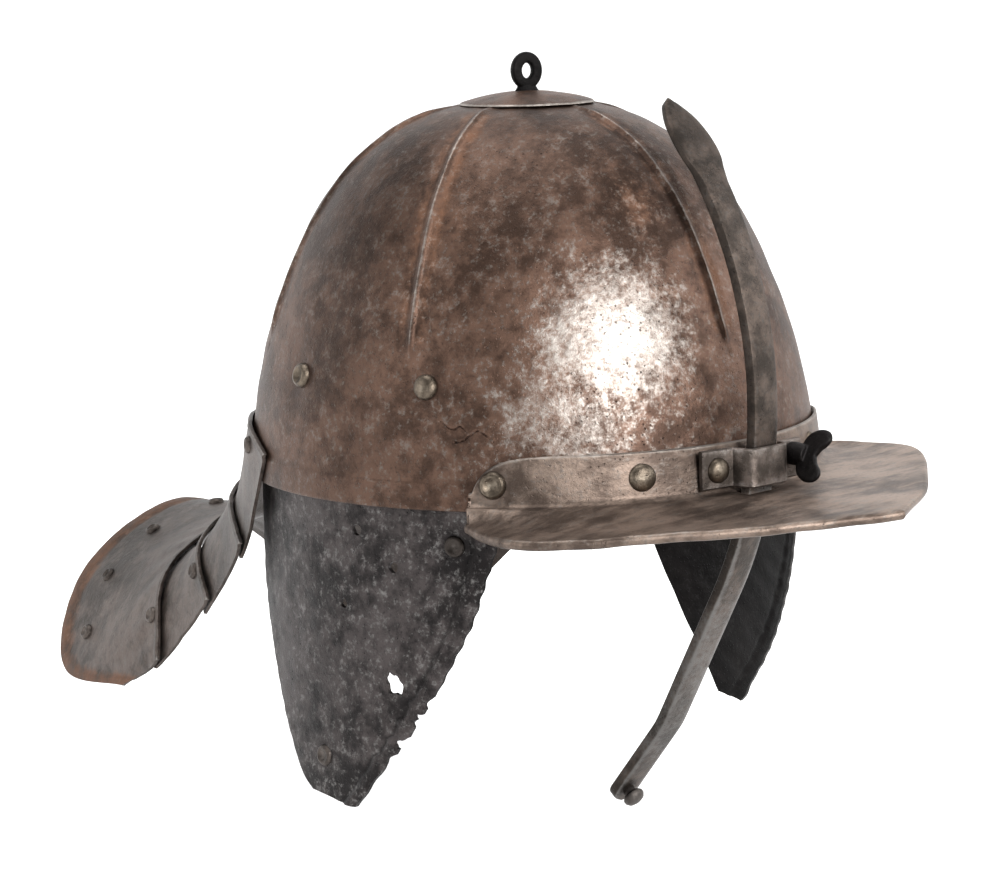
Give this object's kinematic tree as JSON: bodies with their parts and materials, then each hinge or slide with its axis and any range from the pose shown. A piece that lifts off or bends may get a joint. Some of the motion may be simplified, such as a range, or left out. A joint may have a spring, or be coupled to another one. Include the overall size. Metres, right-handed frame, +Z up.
{
  "type": "lobster-tail pot helmet",
  "caption": "Steel cavalry helmet with a ribbed bowl, pointed peak, sliding nasal bar held by a wing screw, hanging cheek plates and a laminated neck tail.",
  "frame": {"origin": "middle of the skull's rim, where the helmet sits on a head", "axes": "-Y is the front, -X the wearer's right, +Z up towards the crown"},
  "size_m": [0.2119, 0.4182, 0.2858],
  "materials": {
    "patina_steel": "brown patina with rust, worn bright on edges",
    "dark_steel": "blackened and pitted",
    "bare_steel": "grey, stained and pitted",
    "rivet_steel": "worn, with a dull shine",
    "leather": "dry, dark brown"
  },
  "bodies": {
    "helmet": {"band_rivet_left_1": "rivet_steel", "band_rivet_left_2": "rivet_steel", "band_rivet_right_1": "rivet_steel", "band_rivet_right_2": "rivet_steel", "cheek_hanger_left": "leather", "cheek_hanger_right": "leather", "cheek_left": "dark_steel", "cheek_right": "dark_steel", "cheek_rivet_left_1": "rivet_steel", "cheek_rivet_left_2": "rivet_steel", "cheek_rivet_right_1": "rivet_steel", "cheek_rivet_right_2": "rivet_steel", "finial_disc": "patina_steel", "hanging_eye": "dark_steel", "lame_rivet_back": "rivet_steel", "lame_rivet_left_1": "rivet_steel", "lame_rivet_left_2": "rivet_steel", "lame_rivet_left_3": "rivet_steel", "lame_rivet_left_4": "rivet_steel", "lame_rivet_left_5": "rivet_steel", "lame_rivet_left_6": "rivet_steel", "lame_rivet_left_7": "rivet_steel", "lame_rivet_right_1": "rivet_steel", "lame_rivet_right_2": "rivet_steel", "lame_rivet_right_3": "rivet_steel", "lame_rivet_right_4": "rivet_steel", "lame_rivet_right_5": "rivet_steel", "lame_rivet_right_6": "rivet_steel", "lame_rivet_right_7": "rivet_steel", "nasal_strap": "patina_steel", "peak": "patina_steel", "side_rivet_left_1": "rivet_steel", "side_rivet_left_2": "rivet_steel", "side_rivet_right_1": "rivet_steel", "side_rivet_right_2": "rivet_steel", "skull": "patina_steel", "strap_rivet": "rivet_steel", "tail_lame_1": "patina_steel", "tail_lame_2": "patina_steel", "tail_lame_3": "patina_steel", "tail_lame_4": "patina_steel"},
    "nasal": {"nasal_bar": "bare_steel", "nasal_stud": "dark_steel"},
    "wing": {"wing_screw": "dark_steel"}
  },
  "joints": [
    {"name": "nasal_slide", "type": "hinge", "parent": "helmet", "child": "nasal", "pos_m": [-0.00158, 0.0234, 0.036], "axis": [0.9999, 0, 0.016], "range_deg": [-14, 36]},
    {"name": "wing_turn", "type": "hinge", "parent": "helmet", "child": "wing", "pos_m": [0.0144, -0.122, 0.0136], "axis": [0, -1, 0], "range_deg": [0, 270]}
  ]
}
